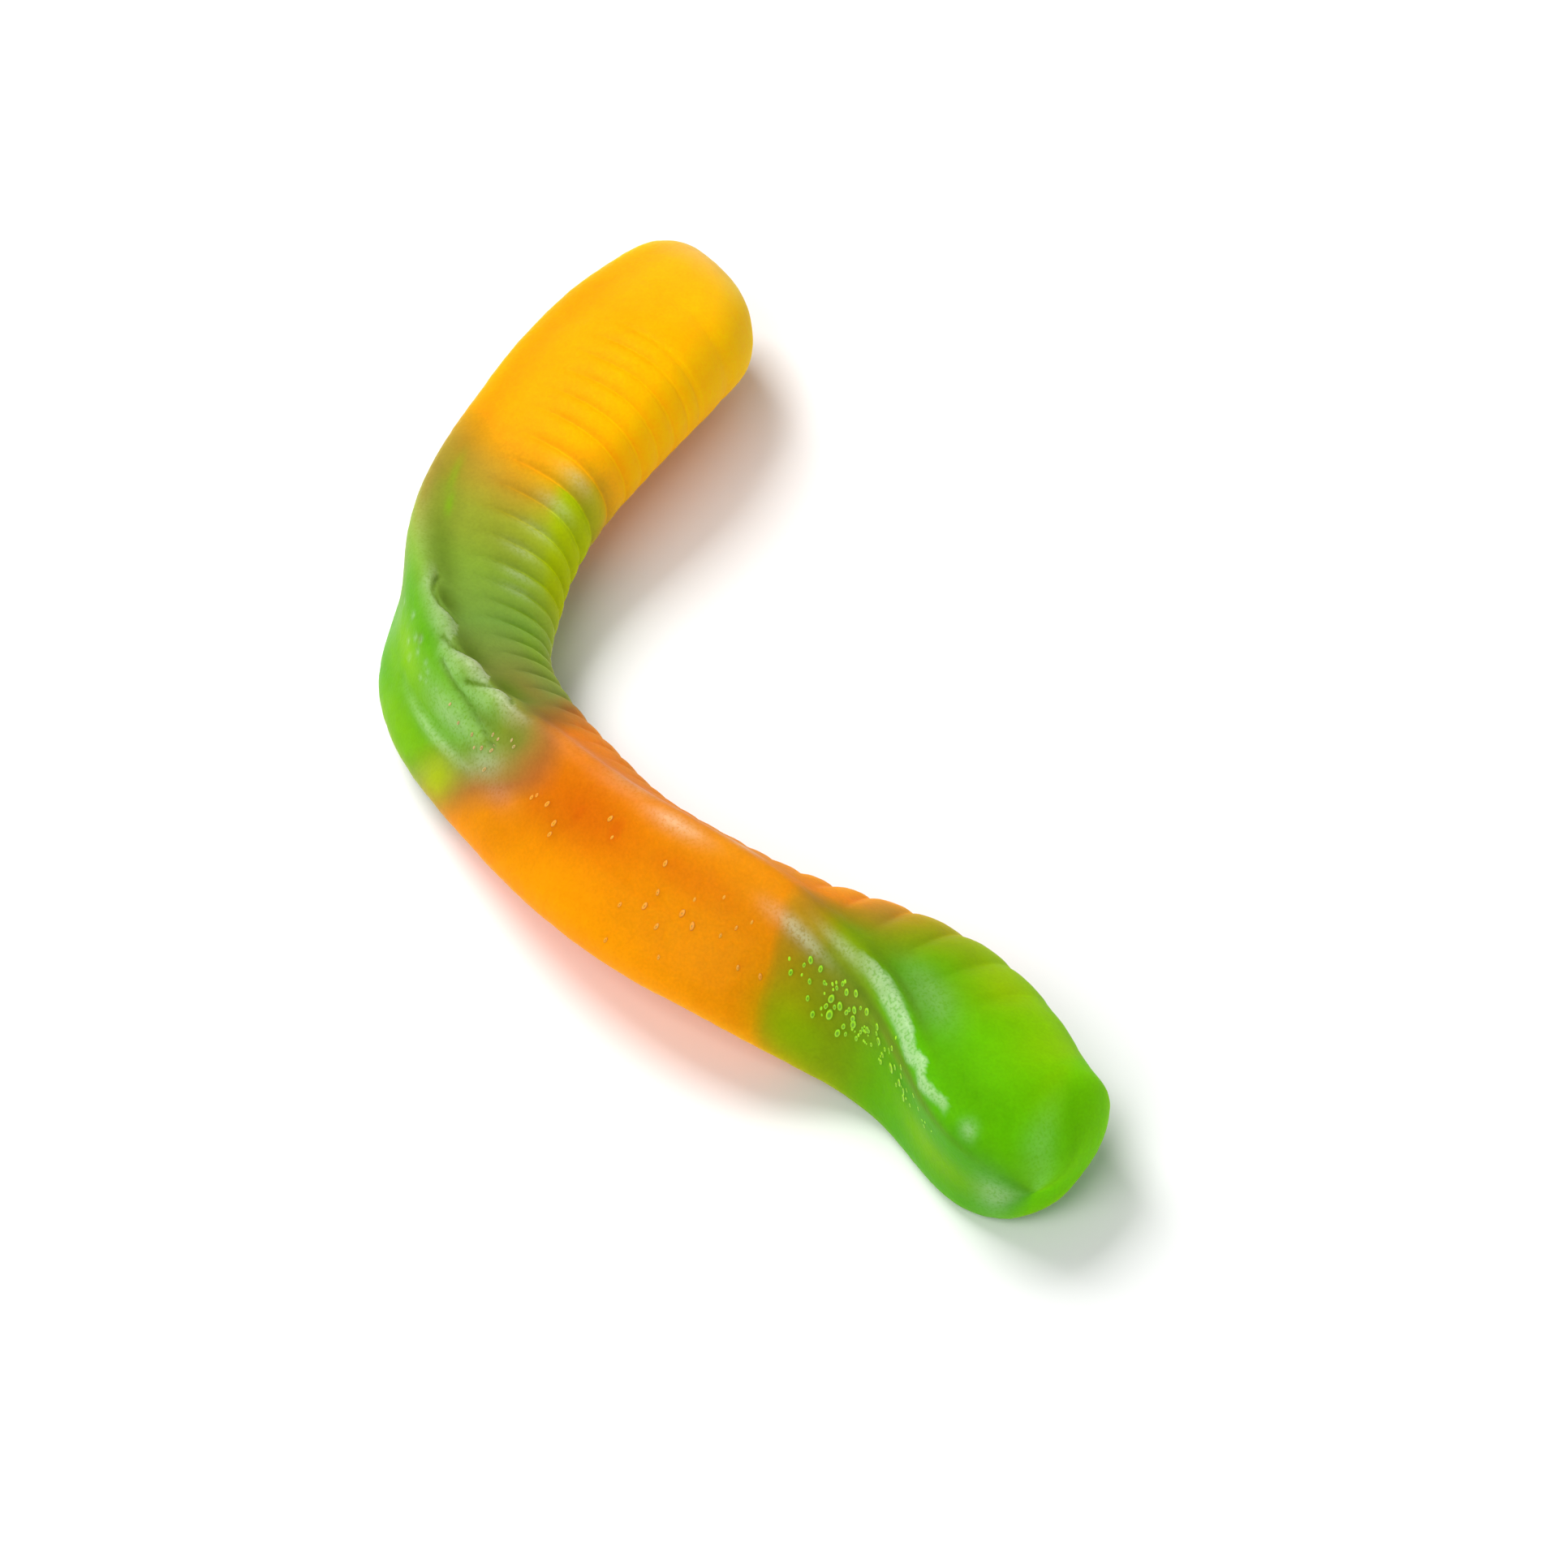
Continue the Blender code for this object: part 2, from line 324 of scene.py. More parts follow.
# %% [markdown]
# ## Strokes and dabs
#
# The small forms are laid on as a sculptor would lay them, by strokes that run between two
# places on the body and fade out to the sides, and by dabs, which are round or oval. Both give
# each point of the skin a number from 0 to 1. The same strokes and dabs mask the dyes later.


# %% Strokes and dabs
def soft_step(low, high, value):
    """0 at low, 1 at high, and a smooth rise between."""
    t = np.clip((value - low) / (high - low), 0, 1)
    return t * t * (3 - 2 * t)


# from the back's middle to the belly's middle
half_round = np.abs(section()[2]).max()
print("half way round is %.1f mm" % half_round)


def way_round(start):
    """How far round each point lies from a start, the shorter way."""
    return (around - start + half_round) % (2 * half_round) - half_round


def stroke(start, end, width, taper=0.15):
    """A straight stroke between two (along, around) places: 1 on its line, less to the sides."""
    run = (end[0] - start[0], end[1] - start[1])
    x, y = along - start[0], way_round(start[1])
    t = np.clip((x * run[0] + y * run[1]) / (run[0]**2 + run[1]**2), 0, 1)
    gap = np.hypot(x - t * run[0], y - t * run[1])
    return np.sin(math.pi * (taper + (1 - 2 * taper) * t)) * np.exp(-(gap / width) ** 2)


def line(places, width):
    """A bent stroke through several places, without fading at the joints."""
    parts = [stroke(a, b, width, taper=0.5) for a, b in zip(places, places[1:])]
    return np.max(parts, axis=0)


def dab(centre, reach, turned=0.0):
    """An oval dab: 1 at its centre, with its half length and half width, turned in degrees."""
    c, s = math.cos(math.radians(turned)), math.sin(math.radians(turned))
    x, y = along - centre[0], way_round(centre[1])
    return np.exp(-((c * x + s * y) / reach[0]) ** 2 - ((c * y - s * x) / reach[1]) ** 2)


LEAST_PRESS = 0.005
LEAST_WEIGHT = 0.01


def press(piece, name, height):
    """Moves the skin out by a height in millimetres, through painted weights and Displace."""
    tidy_selection()
    bpy.context.view_layer.objects.active = piece
    for sign, word in ((1, "raised"), (-1, "pressed")):
        weights = np.clip(height * sign, 0, None)
        most = weights.max()
        if most < LEAST_PRESS:
            continue
        group = piece.vertex_groups.new(name=f"{name}_{word}")
        moved = np.flatnonzero(weights > LEAST_WEIGHT * most)
        for i in moved:
            group.add([int(i)], weights[i] / most, "REPLACE")
        move = piece.modifiers.new(group.name, "DISPLACE")
        move.direction = "NORMAL"
        move.mid_level = 0
        move.strength = sign * most * MM
        move.vertex_group = group.name
        bpy.ops.object.modifier_apply(modifier=move.name)
        piece.vertex_groups.clear()
        print(f"{name}: {word} by up to {most:.2f} mm on {len(moved)} points")


# %% [markdown]
# ## Ridges, lips and folds
#
# The solid already has the ridges, the lips and the trough, but rounded by its coarse facets.
# On the sweet each groove between two ridges is a sharp line, because the mould's edge was
# sharp. The lip stands up where the jelly crept up the mould's wall, steep on the belly's side
# and gentle towards the back. At the tight bend the lip is squeezed into three folds.

# %% Grooves between the ridges
RIDGE_START = 3.7
RIDGES = ((1, 3.3), (1, 4.6), (5, 1.6), (32, 2.0))
GROOVE_DEPTH = 0.06
GROOVE_WIDTH = 0.16
GROOVE_STRENGTH = ((0, 0), (6, 0.3), (12, 0.45), (20, 0.8), (30, 1), (74, 1), (80, 0.7), (84, 0))
# along the body, the heights on the section where the grooves begin and where they are full
FADE_ALONG = (0, 20, 34, 60)
GROOVE_NONE = (-3, -3, -1.8, -0.8)
GROOVE_FULL = (-7.5, -7, -6.2, -4.4)
NEAR_SIDE = (3, 4.5)    # the near side is left smooth from here round

widths = [width for count, width in RIDGES for _ in range(count)]
groove_places = RIDGE_START + np.concatenate([[0], np.cumsum(widths)])
to_groove = np.abs(along[:, None] - groove_places[None]).min(axis=1)
groove_strength = smooth_value(GROOVE_STRENGTH, along)
groove_fade = soft_step(np.interp(along, FADE_ALONG, GROOVE_NONE),
                        np.interp(along, FADE_ALONG, GROOVE_FULL), out)
press(worm, "grooves", -GROOVE_DEPTH * groove_strength * groove_fade
      * (1 - soft_step(*NEAR_SIDE, -around)) * np.exp(-(to_groove / GROOVE_WIDTH) ** 2))

# %% The edge of the open back
# how far round the far edge lies, along the body: it waves where the lip is squeezed
BACK_EDGE = ((0, 6.0), (22, 6.0), (28, 5.6), (33.5, 6.1), (34.8, 6.1), (35.6, 5.6), (36.6, 5.45),
             (37.6, 5.6), (38.6, 6.0), (39.5, 6.1), (40.3, 5.7), (40.8, 5.0), (41.3, 5.05),
             (42.0, 5.5), (42.7, 5.85), (43.6, 5.95), (44.6, 5.8), (45.2, 5.1), (45.8, 5.35),
             (46.6, 5.5), (47.4, 5.2), (48.2, 4.8), (50, 4.8), (53, 5.8), (60, 6.3), (67, 6.3),
             (70.5, 5.4), (72, 4.0), (74, 4.5), (76, 5.0), (77.3, 5.35), (78.5, 5.5), (81.8, 5.4),
             (83.2, 5.0), (84.2, 5.4), (85.0, 4.8), (86.2, 5.1), (86.7, 5.3), (88, 4.8),
             (93.5, 4.8))
NEAR_EDGE = 5.6
LIP_BEGINS = (71, 76)
LIP_ENDS = (86, 88.5)
LIP_RISE = 0.05
LIP_SHOULDER = 1.3
LIP_BROW = (-0.1, 0.35)
UNDERCUT_DEPTH = 0.05
UNDERCUT_PLACE = 0.7
UNDERCUT_WIDTH = 0.45

edge = np.interp(along, [place for place, _ in BACK_EDGE], [height for _, height in BACK_EDGE])
past_edge = np.where(around > 0, around - edge, -around - NEAR_EDGE)
lip_ends = soft_step(*LIP_BEGINS, along) * (1 - soft_step(*LIP_ENDS, along))
shoulder = soft_step(-2 * LIP_SHOULDER, -LIP_SHOULDER, past_edge)
shoulder *= 1 - soft_step(*LIP_BROW, past_edge)
undercut = np.exp(-((past_edge - UNDERCUT_PLACE) / UNDERCUT_WIDTH) ** 2)
press(worm, "green_lip", lip_ends * (around > 0)
      * (LIP_RISE * shoulder - UNDERCUT_DEPTH * undercut))

# %% Folds at the bend
# lines are (along, around) places, and dabs are a place, half sizes and a height
FOLD_CREASES = (((34.6, 6.2), (35.4, 5.7), (36.2, 5.4), (37.4, 5.5), (38.3, 5.95), (39.0, 6.3)),
                ((40.2, 4.75), (41.0, 4.95), (41.8, 5.45), (42.6, 5.85), (43.5, 5.95),
                 (44.3, 5.8)),
                ((44.0, 4.3), (44.8, 4.65), (45.5, 5.1), (46.1, 5.45), (46.8, 5.45), (47.6, 5.0)))
SCOOPS = (((36.8, 6.5), (1.5, 0.9), 0.24), ((41.8, 6.5), (1.6, 1.1), 0.22),
          ((45.6, 6.6), (1.4, 1.1), 0.18))
SCOOP_TURN = 20
PUFFS = (((34.8, 5.4), (1.8, 0.6), 0.18), ((39.2, 5.4), (1.2, 0.7), 0.22),
         ((43.4, 5.1), (1.3, 0.8), 0.28), ((46.6, 4.7), (1.3, 0.6), 0.20),
         ((44.8, 2.0), (2.4, 1.0), 0.22), ((44.4, -1.0), (3.4, 0.6), 0.18),
         ((62.5, 4.7), (5.0, 0.9), 0.10))
VALLEY = ((41.6, 3.75), (42.8, 3.5), (44.2, 3.4), (45.6, 3.15), (46.8, 2.6), (47.6, 2.2),
          (48.3, 1.95))
BACK_FOLD = ((39.0, -0.9), (41.2, -0.5), (43.2, -0.15), (45.6, -0.5), (48.0, -1.3))
ORANGE_FOLD = ((56.5, 0.7), (59.0, 0.1), (61.5, -0.3), (65.0, -0.4))
PITS = ((35.0, 2.3), (37.0, 3.2), (39.0, 3.1), (37.8, 1.6), (39.3, 2.3), (41.2, 1.7), (40.5, 2.6),
        (38.7, 1.0), (42.8, 1.5), (38.4, 2.7), (40.6, 1.3), (41.0, 2.3), (42.3, 2.0))
PIT_SIZE = (0.22, 0.26)
PIT_DEPTH = 0.07
CREASE_DEPTH, CREASE_WIDTH = 0.20, 0.16
VALLEY_DEPTH, VALLEY_WIDTH = 0.20, 0.22
BACK_FOLD_DEPTH, ORANGE_FOLD_DEPTH = 0.12, 0.06
FOLD_WIDTH = 0.3

creases = np.max([line(places, CREASE_WIDTH) for places in FOLD_CREASES], axis=0)
valley = line(VALLEY, VALLEY_WIDTH)
folds = (-CREASE_DEPTH * creases - VALLEY_DEPTH * valley
         - BACK_FOLD_DEPTH * line(BACK_FOLD, FOLD_WIDTH)
         - ORANGE_FOLD_DEPTH * line(ORANGE_FOLD, FOLD_WIDTH))
for centre, reach, depth in SCOOPS:
    folds -= depth * dab(centre, reach, turned=SCOOP_TURN)
for centre, reach, height in PUFFS:
    folds += height * dab(centre, reach)
pits = np.max([dab(place, PIT_SIZE) for place in PITS], axis=0)
folds -= PIT_DEPTH * pits
press(worm, "folds", folds)

# %% [markdown]
# ## An uneven skin
#
# Jelly is never as true as its mould. It sags a little as it sets and dries in from the outside,
# so its skin rolls gently and carries finer, pebbled wrinkles. Two cloud textures at those two
# sizes move the skin by a few hundredths of a millimetre.

# %% Gentle unevenness
UNEVEN = (("rolling", 5.0, 0.12), ("pebbled", 0.8, 0.05))

for name, size, depth in UNEVEN:
    clouds = bpy.data.textures.new(name, "CLOUDS")
    clouds.noise_scale = size * MM
    clouds.noise_depth = 1
    tidy_selection()
    bpy.context.view_layer.objects.active = worm
    move = worm.modifiers.new(name, "DISPLACE")
    move.texture = clouds
    move.texture_coords = "LOCAL"
    move.mid_level = 0.5
    move.strength = depth * MM
    bpy.ops.object.modifier_apply(modifier=move.name)
    print(name, "unevenness of", depth, "mm at", size, "mm")

# %% [markdown]
# ## The dyes
#
# Three dyed jellies are poured one after another, and where they meet they run into each other.
# The belly met the cold mould first and the back stayed open, so the borders slant differently
# on the two sides. A `band` number is the place along the body with that slant taken out. The
# two colour ramps read it, one for the belly and one for the back.


# %% Place numbers for the material
def keep_number(piece, name, values, quiet=False):
    """Stores one number for each point, for a material to read."""
    stored = piece.data.attributes.get(name) or piece.data.attributes.new(name, "FLOAT", "POINT")
    stored.data.foreach_set("value", np.asarray(values, np.float32))
    if not quiet:
        print("stored", name, "from %.2f to %.2f" % (values.min(), values.max()))


# each border's place when straight, and where it really runs: (round, along)
BORDERS = ((25.0, ((-17.4, 21.5), (-10, 23), (-6, 24), (5, 23), (6, 23.5), (8, 24.5), (12, 25.8),
                   (14, 25.2), (16, 23), (17.4, 21.5))),
           (50.0, ((-17.4, 46), (-6, 46), (-4, 46.2), (0, 50.2), (2, 52.2), (4, 51.7), (5, 50.4),
                   (9, 48.6), (16, 46), (17.4, 46))),
           (71.5, ((-17.4, 76), (-10, 73.5), (-6, 71.8), (-1, 71.8), (2, 71.3), (6, 71.6),
                   (9, 73.2), (12, 74.5), (17.4, 76))))
# places round where the back's dye gives way, where the skin stays open, and where light and
# shade are painted on the ridges
BACK_FADE = (3.4, 6.2)
OPEN_EDGE = (-0.15, 0.25)
FAR_RIDGES = (9.5, 13.5)
NEAR_RIDGES = (10, 15)
RIDGE_GLOW = ((0, 0), (6, 0.1), (12, 0.35), (20, 0.8), (28, 1), (36, 0.8), (70, 0.8), (80, 0.4),
              (84, 0))


def straight_band():
    """Each point's place along, with the slanted borders between the dyes pulled straight."""
    knots = [(0.0, np.zeros(len(along)))]
    knots += [(place, smooth_value(border, around)) for place, border in BORDERS]
    knots += [(LENGTH, np.full(len(along), LENGTH))]
    band = along
    for (low, start), (high, end) in zip(knots, knots[1:]):
        pulled = low + (along - start) / (end - start) * (high - low)
        band = np.where(along >= start, pulled, band)
    return band


keep_number(worm, "band", straight_band() / LENGTH)
keep_number(worm, "backness", 1 - soft_step(*BACK_FADE, np.abs(around)))
keep_number(worm, "open_back", 1 - soft_step(*OPEN_EDGE, past_edge))
keep_number(worm, "ridge_count", np.interp(along, groove_places, np.arange(len(groove_places))))
ridge_painted_light = smooth_value(RIDGE_GLOW, along)
ridge_painted_light *= np.maximum(soft_step(*FAR_RIDGES, around), soft_step(*NEAR_RIDGES, -around))
keep_number(worm, "ridge_painted_light", ridge_painted_light)

# %% [markdown]
# ## Tints, painted light and satin
#
# Within a band the jelly isn't of one colour. It turns brown where two dyes meet and rusty where
# the orange is thick. Lime and citron are partly the jelly's own colour and partly a painted glow
# where light comes through, and shade is painted as a deep green in the folds. Starch and wax
# leave a pale satin on the lip and in the pits, with a painted sheen and painted highlights on
# it.
# All of these are painted as dabs, which keep their place on the body and add no triangles. Each
# kind becomes a number that the material reads as a mask.

# %% Dabs of tint
# each dab: its place (along, round), its half length and half width, and its strength
BROWN = (((51.8, 2.6), (1.4, 1.8), 0.45), ((48.8, 4.6), (1.5, 1.6), 0.35),
         ((81.0, 3.2), (3.6, 0.6), 0.4), ((77.0, 2.4), (3.0, 1.6), 0.35),
         ((72.4, 5.6), (0.9, 1.1), 0.4), ((74.9, 10.5), (1.2, 2.6), 0.45),
         ((26.5, 5.2), (3.6, 0.8), 0.7), ((46.4, 8.4), (2.4, 1.6), 0.5),
         ((48.9, 6.2), (1.2, 1.0), 0.3), ((73.0, 2.9), (1.6, 0.9), 0.3),
         ((31.4, 2.2), (2.4, 1.8), 0.35))
# painted shade: a deep green in the folds, under the lip's lobes, by the valley and near the
# green end's lip and tip
PAINTED_SHADE_DABS = (((36.8, 6.4), (1.5, 0.9), 0.7), ((41.8, 6.3), (1.5, 1.1), 0.65),
        ((45.8, 6.6), (1.5, 1.1), 0.75), ((32.5, 6.9), (3.4, 0.8), 0.45),
        ((79.0, 3.5), (4.0, 0.4), 0.7), ((84.0, 3.6), (4.0, 0.4), 0.7),
        ((79.5, 6.0), (4.0, 0.4), 0.4), ((46.9, 3.2), (1.5, 0.6), 0.7),
        ((49.4, 3.2), (1.0, 0.9), 0.5), ((38.9, 3.1), (0.3, 0.3), 0.6),
        ((92.4, 4.0), (1.2, 3.0), 0.3))
# lime: partly the jelly's own lime and partly a painted glow where light comes through
LIME_GLOW = (((28.3, 7.2), (0.9, 0.25), 0.7), ((26.0, 6.9), (1.6, 0.3), 0.4),
        ((38.2, 1.0), (3.0, 1.8), 0.8), ((37.4, -1.2), (2.4, 1.2), 0.4),
        ((86.0, -0.8), (4.0, 1.8), 0.6), ((86.0, 14.0), (6.0, 4.0), 0.9),
        ((73.6, -2.6), (2.0, 1.6), 0.7), ((90.6, 12.5), (2.4, 3.0), 0.6),
        ((75.2, 5.9), (1.4, 1.2), 0.5), ((40.5, 13.0), (3.5, 1.8), 0.4),
        ((41.5, -3.0), (3.4, 1.0), 0.3))
# citron: a yellower green, partly the dye and partly a painted glow where light comes through
# thin edges
CITRON_GLOW = (((29.5, 16.0), (7.5, 2.6), 0.6), ((73.0, -1.6), (1.6, 2.6), 0.5),
          ((81.0, 12.5), (1.6, 2.6), 0.5), ((45.8, -3.0), (1.6, 1.6), 0.8))
RUST = (((57.0, 2.2), (6.4, 2.8), 0.6), ((53.8, 1.8), (1.6, 2.6), 0.5),
        ((56.6, 2.0), (1.0, 1.8), 0.7), ((59.3, 2.3), (1.0, 1.7), 0.7),
        ((51.2, -0.6), (1.4, 1.2), 0.25), ((64.0, 2.2), (5.0, 1.5), 0.4))
# pale satin of starch and wax, with a painted sheen and painted highlights on the lip, ridges,
# pits and ends
HAZE_AND_SHEEN = (((31.0, 5.3), (3.0, 0.8), 0.12), ((39.0, 4.9), (2.0, 0.5), 0.3),
        ((44.8, 1.7), (3.0, 1.4), 0.4), ((32.0, 2.6), (2.6, 2.0), 0.1),
        ((34.6, -0.4), (1.2, 2.4), 0.1), ((44.4, -0.9), (3.6, 0.5), 0.5),
        ((48.4, 0.6), (1.4, 1.4), 0.4), ((50.6, -0.6), (1.4, 1.0), 0.15),
        ((72.6, 3.3), (1.8, 0.45), 0.8), ((75.4, 4.5), (1.6, 0.35), 0.5),
        ((80.4, 7.4), (2.0, 1.1), 0.25), ((62.6, 4.4), (2.0, 0.5), 0.5),
        ((66.6, 6.0), (1.6, 0.6), 0.35), ((58.0, 5.3), (2.4, 0.7), 0.25),
        ((70.6, 3.2), (1.0, 0.5), 0.2), ((88.6, 5.2), (0.4, 0.6), 0.5),
        ((92.2, 8.5), (0.9, 2.0), 0.2), ((90.4, -1.0), (1.0, 3.0), 0.5),
        ((0.0, 10.0), (2.2, 7.0), 0.2), ((53.0, 5.8), (2.4, 0.9), 0.12),
        ((42.4, 4.2), (1.4, 0.7), 0.35), ((45.2, 4.0), (2.6, 0.6), 0.3))

# %% Satin, painted highlights and painted glow
# painted highlights on the ridges' crests, which also take the wax film
RIDGE_HIGHLIGHTS = ((22.6, 15.4), (25.1, 14.8), (27.8, 13.9), (30.0, 12.7), (32.2, 12.4), (33.8, 12.2))
RIDGE_SATIN_SIZE = (0.5, 1.3)
RIDGE_SATIN_STRENGTH = 0.4
# the lip's satin and painted highlight along the body: how strong and how wide, and how softly
# its inner side fades
SATIN_ALONG = ((33, 0), (35, 0.4), (36.6, 0.25), (38.6, 0.5), (40.0, 0.45), (41.2, 0.3),
               (42.4, 0.6), (44.6, 0.6), (45.2, 0.4), (46.2, 0.6), (47.2, 0.6), (48.5, 0.3),
               (50, 0), (75, 0), (77.5, 0.7), (81, 0.8), (85, 0.8), (86.8, 0.7), (87.3, 0))
SATIN_WIDTH = ((33, 0.8), (38, 0.9), (44, 1.2), (48, 1.0), (75, 0.6), (79, 1.15), (82, 1.05),
               (84.5, 0.8), (87, 0.5))
SATIN_FADE_BEND, SATIN_FADE_HEAD = 0.7, 0.25
HEAD_SIDE = 60
SATIN_BROW = (-0.05, 0.12)
LIP_HIGHLIGHT, PIT_SHEEN, CREASE_SATIN_LOSS = 0.95, 0.4, 0.8
# how strongly shade is painted in the creases and in the valley
CREASE_SHADE, VALLEY_SHADE = 0.6, 0.5
# painted light: the colour is brightened where light comes through the thin parts, round the body
# and at the green end, and dimmed where this number is low
GLOW_ROUND = ((-17.4, 1), (-12, 0.8), (-6, 0.6), (-3, 0.35), (0, 0.35), (3.5, 0.25), (6.5, 0.0),
              (9, 0.33), (12, 0.55), (14.5, 1), (17.4, 1))
END_GLOW = ((92.5, 10.0), (3.0, 5.0), 0.8)
# painted light: the yellow end's underside, turned away from the lamps, is painted a brighter
# lemon as if lit through
LEMON_GLOW = 0.9
LEMON_GLOW_ROUND = (14.2, 16.8)
LEMON_GLOW_ALONG = (17, 23.5)
# the citron glow painted on the first green ridges' far edge begins in two steps, each at a
# groove
FIRST_STEP, SECOND_STEP = (21.5, 21.7, 0.5), (23.5, 23.7, 0.45)
GREEN_FADE = (31, 36)
GREEN_ROUND = (15.2, 17.2)
GREEN_WIDENS = (23.4, 23.8, 1.8)

print("tints:", sum(len(dabs) for dabs in (BROWN, PAINTED_SHADE_DABS, LIME_GLOW, CITRON_GLOW, RUST, HAZE_AND_SHEEN)), "dabs")


# %% Tints laid over the bands
def dabs_of(dabs):
    """The strongest of some dabs at each point."""
    return np.max([strength * dab(centre, reach) for centre, reach, strength in dabs], axis=0)


def straight_value(stations):
    """The value at each point along the body, on straight lines through the stations."""
    return np.interp(along, [place for place, _ in stations], [value for _, value in stations])


lip_highlight_and_satin = straight_value(SATIN_ALONG)
satin_width = straight_value(SATIN_WIDTH)
satin_fade = np.where(along < HEAD_SIDE, SATIN_FADE_BEND, SATIN_FADE_HEAD)
lip_highlight_and_satin *= (soft_step(-satin_width - satin_fade, -satin_width + satin_fade, past_edge)
              * (around > 0))
lip_highlight_and_satin *= 1 - soft_step(*SATIN_BROW, past_edge)
ridge_highlight_and_satin = dabs_of([(place, RIDGE_SATIN_SIZE, RIDGE_SATIN_STRENGTH) for place in RIDGE_HIGHLIGHTS])
lemon_glow = (LEMON_GLOW * soft_step(*LEMON_GLOW_ROUND, np.abs(around))
         * (1 - soft_step(*LEMON_GLOW_ALONG, along)))
green_edge_glow = (FIRST_STEP[2] * soft_step(*FIRST_STEP[:2], along)
              + SECOND_STEP[2] * soft_step(*SECOND_STEP[:2], along))
widened = np.abs(around) + GREEN_WIDENS[2] * soft_step(*GREEN_WIDENS[:2], along)
green_edge_glow *= (1 - soft_step(*GREEN_FADE, along)) * soft_step(*GREEN_ROUND, widened)

# satin and its painted sheen gather on the lip and in the pits and leave the creases, where shade
# is painted as a deep green
haze_and_sheen = np.maximum.reduce([dabs_of(HAZE_AND_SHEEN), LIP_HIGHLIGHT * lip_highlight_and_satin, ridge_highlight_and_satin, PIT_SHEEN * pits])
haze_and_sheen = haze_and_sheen * (1 - CREASE_SATIN_LOSS * creases)
deep = np.maximum.reduce([dabs_of(PAINTED_SHADE_DABS), CREASE_SHADE * creases, VALLEY_SHADE * valley])
end_place, end_reach, end_strength = END_GLOW
glow = np.maximum(smooth_value(GLOW_ROUND, around), end_strength * dab(end_place, end_reach))
painted = {"lemon_glow": lemon_glow, "haze_and_sheen": haze_and_sheen, "deep": deep, "brown": dabs_of(BROWN),
           "lime_glow": dabs_of(LIME_GLOW), "citron_glow": np.maximum(dabs_of(CITRON_GLOW), green_edge_glow),
           "rust": dabs_of(RUST), "glow": np.clip(glow, 0, 1)}
for name, values in painted.items():
    keep_number(worm, name, values)

# %% [markdown]
# ## Gelatine jelly
#
# Gummy jelly is gelatine and sugar, cast warm into a starch mould. It is clear inside but full
# of tiny scatterers, so light goes a few millimetres in, picks up the dye and comes out soft.
# Random-walk subsurface scattering does just that. The starch leaves a satin skin with a grain
# of about 0.05 mm, which breaks highlights into a fine sparkle. At the render's size that grain
# is under a pixel, so it is drawn at 0.18 mm.

# %% The dyes along the body
TONES = {"pale_gold": "#FFB83A", "honey": "#FFAC0C", "gold": "#FF9E00", "ochre": "#D2940A",
         "khaki": "#AE8C24", "olive": "#929A2A", "leaf": "#86A432", "sage": "#7CA240",
         "moss": "#7C8A3A", "bark": "#A06A2A", "flame": "#EC7E18", "tangerine": "#F08A12",
         "clay": "#CE7E00", "amber": "#DE8E00", "bronze": "#B4880E", "fern": "#8A940A",
         "grass": "#62A804", "apple": "#64BC00", "clover": "#549C04", "spring": "#64A20C",
         "ivy": "#669218", "mint": "#4EA204"}
# the pale gold at the yellow end's tip, on belly and back, is partly a painted sheen
BELLY_DYE = ((0.0, "pale_gold"), (4.0, "honey"), (10.0, "gold"), (20.0, "gold"), (22.8, "ochre"),
             (25.0, "khaki"), (28.0, "olive"), (33.0, "leaf"), (39.0, "sage"), (44.0, "moss"),
             (48.2, "moss"), (50.0, "bark"), (51.8, "flame"), (60.0, "flame"),
             (66.0, "tangerine"), (71.2, "tangerine"), (72.8, "bronze"), (75.0, "fern"),
             (78.5, "grass"), (83.0, "apple"), (93.5, "apple"))
BACK_DYE = ((0.0, "pale_gold"), (4.0, "honey"), (10.0, "gold"), (20.0, "gold"), (25.0, "khaki"),
            (30.0, "leaf"), (35.0, "clover"), (39.5, "clover"), (42.0, "spring"),
            (45.6, "spring"), (46.8, "ivy"), (48.2, "moss"), (50.5, "bark"), (52.6, "clay"),
            (55.0, "clay"), (59.0, "amber"), (71.3, "amber"), (71.8, "bronze"), (74.5, "fern"),
            (79.5, "grass"), (83.0, "mint"), (93.5, "mint"))


def ramp(tree, stations, place):
    """A colour ramp whose stops stand at places along the body."""
    node = add_node(tree, "ValToRGB", {"Fac": place})
    stops = node.color_ramp.elements
    for position, _ in stations[1:-1]:
        stops.new(position / LENGTH)
    for stop, (position, tone) in zip(stops, stations):
        stop.position = position / LENGTH
        stop.color = linear(TONES[tone])
    return node.outputs["Color"]


print("dyes:", len(TONES), "tones,", len(BELLY_DYE), "stops on the belly and", len(BACK_DYE),
      "on the back")

# %% Values for the jelly
GRAIN, GRAIN_DEPTH = 0.18, 0.05     # the finest bumps: their size and depth
MOTTLE, MOTTLE_DEPTH = 0.7, 0.12    # and the coarser ones
MOTTLE_STRENGTH = 0.3
SMEAR = 6.0                         # how large the swirls between two dyes are
SMEAR_REACH = 3.0                   # and how far they carry the dye, from end to end
SCATTER = 6.0                       # how far red light goes in
SCATTER_SHARES = (1.0, 0.9, 0.6)    # and the share of that for red, green and blue
MATT_BELLY, GLOSSY_BACK, SHEEN_RANGE = 0.60, 0.45, 0.16
WAX, WAX_ROUGHNESS = 0.5, 0.28
JELLY_IOR = 1.45
# the tints of the ridges' painted glowing edge and painted groove shade
EDGE_GLOW = (1.5, 1.4, 0.2, 1)
GROOVE_SHADE = (0.65, 0.66, 0.5, 1)
# how the painted glow scales the colour where its number is 0 and where it is 1
GLOW = (0.84, 1.28)
